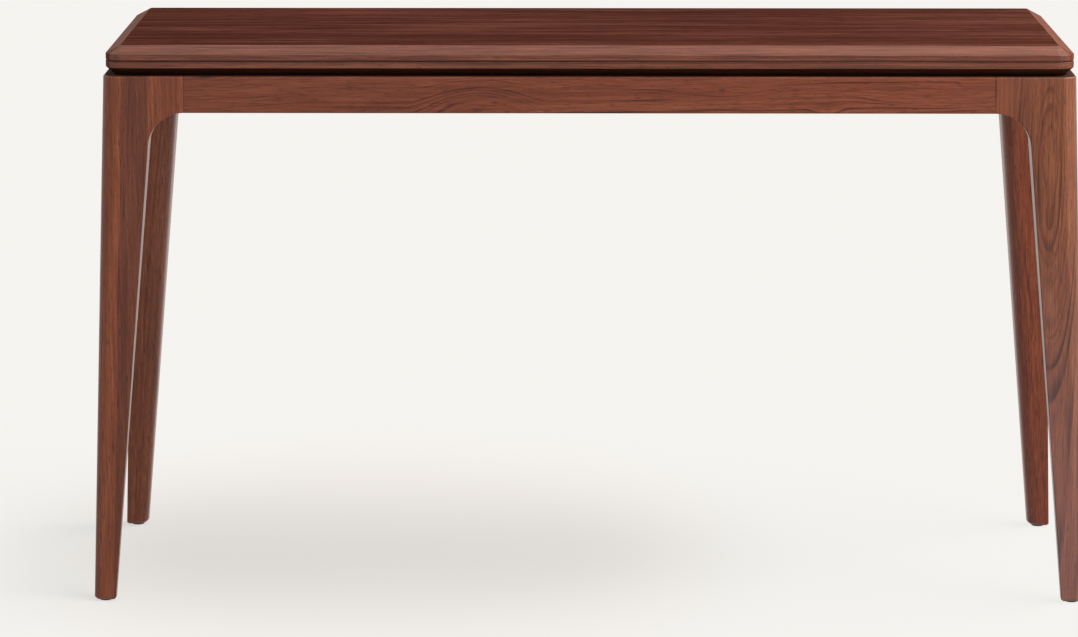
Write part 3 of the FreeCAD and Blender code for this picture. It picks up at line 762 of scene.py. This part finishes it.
ANODISED_ALUMINIUM = Metal(
    name="anodised_aluminium",
    bright="#B9BABC",
    dull="#8F9194",
    edge_colour="#CDCED0",
    roughness=0.38,
    brushed=(0.8, 60.0, 0.8),
)
SATIN_BRASS = Metal(
    name="satin_brass",
    bright="#C9A45A",
    dull="#8C6A34",
    edge_colour="#DDBD7A",
    roughness=0.34,
    brushed=(24.0, 0.7, 0.7),
)
ZINC_PLATED_STEEL = Metal(
    name="zinc_plated_steel",
    bright="#B7B8B6",
    dull="#84867F",
    edge_colour="#C9CAC8",
    roughness=0.36,
    brushed=(1.2, 1.2, 1.2),
    bloom_mm=2.5,
)
BLACK_NYLON = Moulding(
    name="black_nylon",
    body="#1B1A19",
    cloud="#262423",
    rubbed="#3A3735",
    roughness=0.5,
    specular=0.4,
)
NATURAL_NYLON = Moulding(
    name="natural_nylon",
    body="#D8D3C4",
    cloud="#E4E0D3",
    rubbed="#ECE9DF",
    roughness=0.42,
    specular=0.45,
)
BLACK_RUBBER = Moulding(
    name="black_rubber",
    body="#171615",
    cloud="#23211F",
    rubbed="#34312E",
    roughness=0.75,
    specular=0.3,
)
BROWN_FELT = Felt(name="brown_wool_felt", wool="#3A2A22", fleck="#5B4436")

# Painted shade: under the leaves the frame's top is darkened and made matt, so the gap above it reads as one
# dark line.
FRAME_TOP_GAP_SHADE = PaintedGapShade(1.0, leaves_share=0.30, starts_share=0.94, matt=True)
# Painted shade: both front edges have a dark line along the seam between the leaves. The edges are darker on
# the right, the upper one also along its length, and the upper bevel has a painted highlight on the right.
# None of it reaches the faces that meet between the leaves.
LOWER_EDGE_TONE_AND_PAINTED_SHADE = (KnotOrPatch(0, 8.2, 2500, 1.3, 0, 0.9), KnotOrPatch(470, 3, 520, 6.5, 0, 0.50))
UPPER_EDGE_TONE_AND_PAINTED_LIGHT = (
    KnotOrPatch(0, -8.2, 2500, 1.3, 0, 0.9),
    KnotOrPatch(0, -3, 2500, 6.5, 0, 0.22),
    KnotOrPatch(470, -3, 520, 6.5, 0, 0.22),
    # Painted highlight: the upper bevel is paler on the right.
    KnotOrPatch(470, 5, 520, 8, 0, 0.10, "#9A6A55"),
)


@dataclass
class SubAssembly:
    """A group of pieces that are dressed together, with the CAD nodes at hand."""

    nodes: dict[str, Piece]

    def dress(self) -> None:
        """Dress every piece of the group."""
        raise NotImplementedError

    def board(self, name: str, board: Board) -> None:
        """Dress a wooden piece as a board of its own.

        Args:
            name: The CAD node's name.
            board: How the piece was sawn.
        """
        low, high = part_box(name)
        coat(self.nodes[name], board.material(name, low, high))

    def all_named(self, *beginnings: str) -> list[Piece]:
        """Find the pieces whose names begin with any of these words.

        Args:
            beginnings: The words.

        Returns:
            The pieces, in the order of their names.
        """
        return [self.nodes[name] for name in sorted(self.nodes) if name.startswith(beginnings)]

    def coat_all(self, material: Material, *beginnings: str) -> None:
        """Give one finish to all pieces whose names begin with any of these words."""
        for piece in self.all_named(*beginnings):
            coat(piece, material)


@dataclass
class Legs(SubAssembly):
    """Four tapered legs with arched ears, each glued up from staves, on nylon glides."""

    # The outer side of a leg leans out from head to foot by this share of its height.
    splay_share: float = 0.0346

    def dress(self) -> None:
        """Dress every leg as its own board, and the glides."""
        left, right = -self.splay_share, self.splay_share
        # The heads of the legs get the painted shade of the gap under the leaves.
        post = Board(FRAME_WALNUT, Grain.ALONG_Z, gap_shade=FRAME_TOP_GAP_SHADE)
        boards = {
            "leg_front_left": replace(
                post,
                heart=(-160.0, 60.0),
                lean=(0.012, left),
                figure=0.30,
                waviness=3.0,
                staves=((0.425, "#FFF6EE"), (0.44, "#C8C0C8"), (0.698, "#CCC3C9"), (0.712, "#FFF6EE")),
                stave_lean=self.splay_share,
                seed=1.3,
            ),
            "leg_front_right": replace(
                post,
                heart=(-85.0, -14.0),
                lean=(0.03, right),
                ring_width=9.0,
                waviness=9.0,
                figure=0.84,
                streaks=0.85,
                knots_and_patches=(
                    # An oval with arches below it, which darken at their tips.
                    KnotOrPatch(214, -8, 350, 66, -10),
                    KnotOrPatch(206, -6, 60, 20, 1),
                    KnotOrPatch(126, -10, 24, 9, 0, 0.40),
                    KnotOrPatch(85, -10, 24, 10, 0, 0.45),
                    KnotOrPatch(28, -9, 20, 12, 0, 0.40),
                    KnotOrPatch(-15, -6, 24, 10, 0, 0.40),
                    KnotOrPatch(318, -4, 5, 3, 1.5, 0.8),
                    # Calm wood beside the joint with the apron.
                    KnotOrPatch(335, 58, 70, 26, 0, 0.75, "#6A3825"),
                    # Painted reflection: pale pinkish grey towards the foot, where the lacquer would mirror
                    # the pale floor.
                    KnotOrPatch(-360, 0, 640, 220, 0, 0.13, "#A4878B"),
                ),
                staves=((0.20, "#F1FFFF"), (0.24, "#DFE6E8")),
                stave_lean=-self.splay_share,
                seed=7.9,
            ),
            "leg_rear_left": replace(
                post,
                heart=(80.0, -20.0),
                lean=(-0.01, left),
                knots_and_patches=(KnotOrPatch(-150, 20, 60, 6, 4, 0.45),),
                seed=12.7,
            ),
            "leg_rear_right": replace(
                post,
                heart=(90.0, 25.0),
                lean=(0.015, right),
                staves=((0.10, "#DECACC"), (0.60, "#F8E5E1")),
                seed=17.2,
            ),
        }
        for name, board in boards.items():
            self.board(name, board)
        self.coat_all(BLACK_NYLON.material(), "foot_glide")


@dataclass
class Frame(SubAssembly):
    """The aprons between the legs, and the beech rails, blocks and dowels that stiffen them inside."""

    # The dark line at each end of an apron, in millimetres.
    joint_line: float = 1.0
    beech_figure: float = 0.2
    rail_seed: float = 30.0
    block_seed: float = 40.0
    dowel_seed: float = 50.0
    dowel_ring_width: float = 2.0

    def dress(self) -> None:
        """Dress the aprons in walnut and the pieces inside the frame in beech."""
        # The aprons' tops get the painted shade of the gap under the leaves.
        apron = Board(APRON_WALNUT, Grain.ALONG_X, joint_line=self.joint_line, gap_shade=FRAME_TOP_GAP_SHADE)
        side = replace(apron, grain=Grain.ALONG_Y, lean=(0.05, 0.01))
        aprons = {
            "apron_front": replace(
                apron,
                heart=(20.0, -150.0),
                lean=(0.0, 0.012),
                ring_width=9.0,
                figure=0.78,
                streaks=0.95,
                fibre_length=60.0,
                knots_and_patches=(
                    KnotOrPatch(-146, -24, 100, 60, -5),
                    KnotOrPatch(-560, 30, 260, 70, 4.5),
                    KnotOrPatch(110, 60, 190, 70, 4),
                    KnotOrPatch(177, 6, 90, 20, 2.5),
                    KnotOrPatch(177, 7, 6, 4, 1, 0.6),
                    KnotOrPatch(317, -24, 34, 20, 0.8),
                    KnotOrPatch(450, -3, 110, 16, 2, 0.12),
                    KnotOrPatch(530, 12, 60, 12, 1.5, 0.15),
                    KnotOrPatch(-126, -10, 9, 3, 1, 0.6),
                    KnotOrPatch(-150, -20, 12, 4, 1, 0.7),
                    # The glue line at the right end shows dark.
                    KnotOrPatch(541.5, 8, 3, 30, 0, 0.9),
                    KnotOrPatch(535, -4, 90, 40, 0, 0.35, "#552C22"),
                ),
                seed=3.1,
            ),
            "apron_rear": replace(apron, heart=(-62.0, 8.0), lean=(-0.03, 0.01), seed=22.4),
            "apron_left": replace(side, heart=(55.0, -10.0), seed=5.5),
            "apron_right": replace(side, heart=(-60.0, 6.0), seed=9.1),
        }
        for name, board in aprons.items():
            self.board(name, board)
        beech = Board(BARE_BEECH, Grain.ALONG_X, figure=self.beech_figure)
        rail = replace(beech, grain=Grain.ALONG_Y, heart=(40.0, -70.0))
        rails = self.all_named("cross_rail_left", "cross_rail_centre", "cross_rail_right")
        for number, piece in enumerate(rails):
            self.board(piece.name, replace(rail, seed=self.rail_seed + number))
        block = replace(beech, heart=(80.0, 30.0))
        for number, piece in enumerate(self.all_named("corner_block_front", "corner_block_rear")):
            self.board(piece.name, replace(block, seed=self.block_seed + number))
        dowel = replace(beech, ring_width=self.dowel_ring_width, seed=self.dowel_seed)
        for piece in self.all_named("apron_dowels", "cross_rail_dowels"):
            self.board(piece.name, dowel)


# The edges of a leaf, each with the way its lipping's grain runs.
EDGE_GRAINS = {"front": Grain.ALONG_X, "rear": Grain.ALONG_X, "left": Grain.ALONG_Y, "right": Grain.ALONG_Y}


@dataclass
class Leaf(SubAssembly):
    """One leaf of the top: a veneered panel and four mitred lippings."""

    name: str
    seed: float
    # Painted shade on the leaf's faces in the gap above the frame, if any.
    gap_shade: PaintedGapShade | None = None
    # Patches for the front lipping, such as a painted shade line at the seam or a painted highlight.
    front_tone_and_painted_light: tuple[KnotOrPatch, ...] = ()
    # Each lipping is cut this much further on than the one before it.
    seed_step: float = 2.7

    def dress(self) -> None:
        """Dress the panel with straight veneer, and each lipping as a board along its own edge."""
        panel = Board(
            VENEER_WALNUT_AND_PAINTED_SHADE,
            Grain.ALONG_X,
            heart=(-900.0, 60.0),
            ring_width=16.0,
            figure=0.22,
            streaks=1.1,
            mottle=0.6,
            fibre_width=7.0,
            fibre_length=230.0,
            pore_width=3.0,
            pore_length=30.0,
            mottle_width=34.0,
            mottle_length=480.0,
            seed=self.seed,
        )
        self.board(f"{self.name}_panel", panel)
        for number, (edge, grain) in enumerate(EDGE_GRAINS.items(), start=1):
            lipping = Board(
                LIPPING_WALNUT if grain is Grain.ALONG_X else END_LIPPING_WALNUT,
                grain,
                heart=(46.0, -30.0),
                lean=(0.008, 0.003),
                ring_width=3.6,
                waviness=4.0,
                figure=0.5,
                streaks=1.8,
                knots_and_patches=self.front_tone_and_painted_light if edge == "front" else (),
                gap_shade=self.gap_shade,
                seed=self.seed + self.seed_step * number,
            )
            self.board(f"{self.name}_lipping_{edge}", lipping)


@dataclass
class SlideGear(SubAssembly):
    """Two aluminium slides with nylon runners, rubber buffers and felt pads that the top glides on."""

    # The soft edge of a felt pad, in metres.
    pad_edge: float = 0.0003
    pad_edge_steps: int = 3
    # The leaf rests on the tips of the wool, this far above the strip, in metres.
    pad_nap: float = 0.00005

    def dress(self) -> None:
        """Dress the slides and make the felt pads."""
        self.coat_all(ANODISED_ALUMINIUM.material(), "slide_rail_left", "slide_rail_right")
        self.coat_all(NATURAL_NYLON.material(), "slide_runner")
        self.coat_all(BLACK_RUBBER.material(), "rail_buffers")
        felt = BROWN_FELT.material()
        for end in ("front", "rear"):
            self.felt_pad(f"slide_pad_{end}", felt)

    def felt_pad(self, node: str, felt: Material) -> None:
        """Make a felt strip with soft edges in the place of its CAD node.

        Args:
            node: The CAD node's name.
            felt: The felt.
        """
        low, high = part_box(node)
        high = high - Vector((0.0, 0.0, self.pad_nap))
        size = high - low
        bpy.ops.object.select_all(action="DESELECT")
        bpy.ops.mesh.primitive_cube_add(size=1.0, location=(low + high) / 2)
        strip = bpy.context.active_object
        strip.name = f"felt_{node}"
        strip.scale = size
        bpy.ops.object.transform_apply(location=True, rotation=True, scale=True)
        bevel = strip.modifiers.new("soft_edges", "BEVEL")
        bevel.width = self.pad_edge
        bevel.segments = self.pad_edge_steps
        bevel.limit_method = "ANGLE"
        bpy.ops.object.modifier_apply(modifier=bevel.name)
        coat(strip, felt)
        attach(strip, "frame")
        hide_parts(node)


@dataclass
class HingeGear(SubAssembly):
    """Three brass butt hinges on the rear edges of the leaves, with their pins."""

    def dress(self) -> None:
        """Dress the plates and pins in brass."""
        brass = SATIN_BRASS.material()
        for piece in self.all_named("hinge_"):
            if not piece.name.endswith("screws"):
                coat(piece, brass)


@dataclass
class Fixings(SubAssembly):
    """The screws, hanger bolts, washers and nuts."""

    beginnings: tuple[str, ...] = (
        "hanger_",
        "corner_block_screws",
        "slide_rail_screws",
        "runner_screws",
        "hinge_lower_screws",
        "hinge_upper_screws",
    )

    def dress(self) -> None:
        """Dress every fixing in zinc-plated steel."""
        self.coat_all(ZINC_PLATED_STEEL.material(), *self.beginnings)


@dataclass(frozen=True)
class SoftBox:
    """A studio lamp behind a square of white cloth, which gives an even light with soft edges."""

    name: str
    place: Triple
    aim: Triple
    size: float
    power: float


@dataclass
class Studio:
    """A pale floor under a soft dome, a broad lamp that shades the floor, and soft boxes on the object."""

    floor_size: float = 60.0
    # The dome is brightest above the front.
    dome_towards: Triple = (0.10, -0.62, 0.78)
    dome_darkest: float = 0.06
    dome_brightest: float = 0.30
    lamp_towards: Triple = (0.54, -0.06, 0.72)
    lamp_strength: float = 2.85
    lamp_spread_deg: float = 56.0
    boxes: tuple[SoftBox, ...] = (
        SoftBox("right_box", place=(1.7, -1.0, 2.2), aim=(0.4, 0.0, 0.6), size=0.9, power=54.0),
        SoftBox("front_box", place=(-1.1, -3.0, 1.9), aim=(-0.1, -0.2, 0.5), size=1.6, power=35.0),
        SoftBox("low_box", place=(1.7, -1.5, 0.35), aim=(0.6, -0.2, 0.2), size=0.6, power=18.0),
        # Two low ones behind the table light the inner sides of the legs.
        SoftBox("rear_left_box", place=(-1.5, 2.4, 0.4), aim=(0.62, 0.0, 0.35), size=0.8, power=62.0),
        SoftBox("rear_right_box", place=(1.5, 2.4, 0.4), aim=(-0.62, 0.0, 0.35), size=0.8, power=30.0),
        SoftBox("rear_box", place=(0.6, 3.2, 2.6), aim=(0.0, 0.2, 0.5), size=1.6, power=45.0),
    )
    # The share of the floor's brightness that no shadow takes away, under the table and well away from it.
    floor_glow: float = 0.60
    floor_glow_far: float = 0.90
    # The floor is shaded round this place, as far as this on each side, and fully within the core's share.
    shade_middle: Pair = (-0.30, 0.10)
    shade_reach: Pair = (0.64, 0.88)
    shade_core: float = 0.40
    # In the shade the floor looks a little warmer than the backdrop.
    floor_shaded: str = "#FDF3F0"
    # What the floor throws back at the object: a studio floor is greyer than the backdrop that is seen.
    floor_bounce: str = "#D6D5D2"

    def build(self) -> None:
        """Make the floor, the world and the lamps."""
        self.make_world()
        floor = self.make_floor()
        lamp = bpy.data.lights.new("broad_lamp", "SUN")
        lamp.energy = self.lamp_strength
        lamp.angle = math.radians(self.lamp_spread_deg)
        self.hang(lamp, Vector(self.lamp_towards), Vector(self.lamp_towards))
        # The soft boxes are flagged off the floor, which stays evenly pale.
        flagged = bpy.data.collections.new("flagged_off")
        flagged.objects.link(floor)
        flagged.collection_objects[0].light_linking.link_state = "EXCLUDE"
        for soft_box in self.boxes:
            light = bpy.data.lights.new(soft_box.name, "AREA")
            light.energy = soft_box.power
            light.size = soft_box.size
            place = Vector(soft_box.place)
            holder = self.hang(light, place, place - Vector(soft_box.aim))
            holder.light_linking.receiver_collection = flagged
            # The cloth shows neither as a bright spot in satin lacquer nor in a picture from another side.
            holder.visible_glossy = False
            holder.visible_camera = False
        LOG.info("the studio is lit")

    def hang(self, lamp: bpy.types.Light, place: Vector, towards: Vector) -> Piece:
        """Hang a lamp and turn it.

        Args:
            lamp: The lamp.
            place: Where it hangs.
            towards: The way from the object to the lamp.

        Returns:
            The lamp's object.
        """
        holder = bpy.data.objects.new(lamp.name, lamp)
        holder.location = place
        holder.rotation_euler = towards.to_track_quat("Z", "Y").to_euler()
        bpy.context.scene.collection.objects.link(holder)
        return holder

    def seen(self, tree: Tree) -> Socket:
        """Add a mask for rays from the camera, from gloss and through glass.

        Args:
            tree: The node tree.

        Returns:
            One for those rays.
        """
        names = ("Is Camera Ray", "Is Glossy Ray", "Is Transmission Ray")
        camera, gloss, glass = (add_node(tree, "LightPath", out=name) for name in names)
        shine = add_node(tree, "Math", {0: gloss, 1: glass}, operation="MAXIMUM")
        return add_node(tree, "Math", {0: camera, 1: shine}, operation="MAXIMUM")

    def make_world(self) -> None:
        """Make the dome that lights the object, behind the backdrop that is seen."""
        world = bpy.data.worlds.new("studio")
        world.use_nodes = True
        tree = world.node_tree
        tree.nodes.clear()
        way = add_node(tree, "TexCoord", out="Generated")
        towards = Vector(self.dome_towards).normalized()
        facing = add_node(tree, "VectorMath", {0: way, 1: towards}, out="Value", operation="DOT_PRODUCT")
        span = {"Value": facing, "From Min": -1.0, "To Min": self.dome_darkest, "To Max": self.dome_brightest}
        strength = add_node(tree, "MapRange", span)
        dome = add_node(tree, "Background", {"Color": WHITE, "Strength": strength})
        backdrop = add_node(tree, "Background", {"Color": BACKDROP_COLOUR, "Strength": 1.0})
        mix = add_node(tree, "MixShader", {0: self.seen(tree), 1: dome, 2: backdrop})
        add_node(tree, "OutputWorld", {"Surface": mix})
        bpy.context.scene.world = world

    def glow_share(self, tree: Tree) -> Socket:
        """Add the share of the floor's brightness that no shadow takes away.

        Args:
            tree: The floor's node tree.

        Returns:
            The share, which is least in the middle of the shade.
        """
        place = add_node(tree, "TexCoord", out="Object")
        (middle_x, middle_y), (reach_x, reach_y) = self.shade_middle, self.shade_reach
        shrink, shift = (1 / reach_x, 1 / reach_y, 0.0), (-middle_x / reach_x, -middle_y / reach_y, 0.0)
        oval = add_node(tree, "VectorMath", {0: place, 1: shrink, 2: shift}, operation="MULTIPLY_ADD")
        away = add_node(tree, "VectorMath", {0: oval}, out="Value", operation="LENGTH")
        low, high = self.floor_glow, self.floor_glow_far
        span = {"Value": away, "From Min": self.shade_core, "To Min": low, "To Max": high}
        return add_node(tree, "MapRange", span, interpolation_type="SMOOTHSTEP")

    def make_floor(self) -> Piece:
        """Make the floor, which keeps the object's shadow.

        Returns:
            The floor.
        """
        bpy.ops.object.select_all(action="DESELECT")
        bpy.ops.mesh.primitive_plane_add(size=self.floor_size)
        floor = bpy.context.active_object
        floor.name = "studio_floor"
        material = new_material("pale_floor")
        tree = material.node_tree
        matt = add_node(tree, "BsdfDiffuse", {"Color": self.floor_shaded})
        glow = add_node(tree, "Emission", {"Color": BACKDROP_COLOUR, "Strength": 1.0})
        share = self.glow_share(tree)
        pale = add_node(tree, "MixShader", {0: share, 1: matt, 2: glow})
        bounce = add_node(tree, "BsdfDiffuse", {"Color": self.floor_bounce})
        mix = add_node(tree, "MixShader", {0: self.seen(tree), 1: bounce, 2: pale})
        add_node(tree, "OutputMaterial", {"Surface": mix})
        coat(floor, material)
        return floor


@dataclass
class PhotoCamera:
    """The camera where the photographer stood, as the fit to the table's corners gives it."""

    place: Triple = (-0.01726, -5.79297, 1.48981)
    # The turns are in radians.
    pitch: float = 0.19432
    yaw: float = -0.00895
    roll: float = -0.00024
    lens_mm: float = 140.61
    sensor_mm: float = 36.0

    def build(self) -> None:
        """Make the camera and set it as the scene's own."""
        level = math.cos(self.pitch)
        ahead = Vector((math.sin(self.yaw) * level, math.cos(self.yaw) * level, -math.sin(self.pitch)))
        across = Vector((math.cos(self.yaw), -math.sin(self.yaw), 0.0))
        turn = Matrix((across, across.cross(ahead), -ahead)).transposed() @ Matrix.Rotation(self.roll, 3, "Z")
        data = bpy.data.cameras.new("photo_camera")
        data.lens = self.lens_mm
        data.sensor_width = self.sensor_mm
        data.sensor_fit = "HORIZONTAL"
        camera = bpy.data.objects.new("photo_camera", data)
        camera.matrix_world = Matrix.Translation(self.place) @ turn.to_4x4()
        bpy.context.scene.collection.objects.link(camera)
        bpy.context.scene.camera = camera


def main() -> None:
    """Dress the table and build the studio."""
    logging.basicConfig(level=logging.INFO, format="%(name)s: %(message)s")
    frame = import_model()
    nodes = frame["nodes"]
    for part in (
        Legs(nodes),
        Frame(nodes),
        # Painted shade darkens the lower leaf's downward faces; the front edges get a painted seam line and a
        # painted highlight.
        Leaf(nodes, "lower_leaf", seed=60.0, gap_shade=PaintedGapShade(-1.0), front_tone_and_painted_light=LOWER_EDGE_TONE_AND_PAINTED_SHADE),
        Leaf(nodes, "upper_leaf", seed=80.0, front_tone_and_painted_light=UPPER_EDGE_TONE_AND_PAINTED_LIGHT),
        SlideGear(nodes),
        HingeGear(nodes),
        Fixings(nodes),
    ):
        part.dress()
    Studio().build()
    PhotoCamera().build()
    bpy.context.scene.view_settings.view_transform = "Standard"


if __name__ == "__main__":
    main()
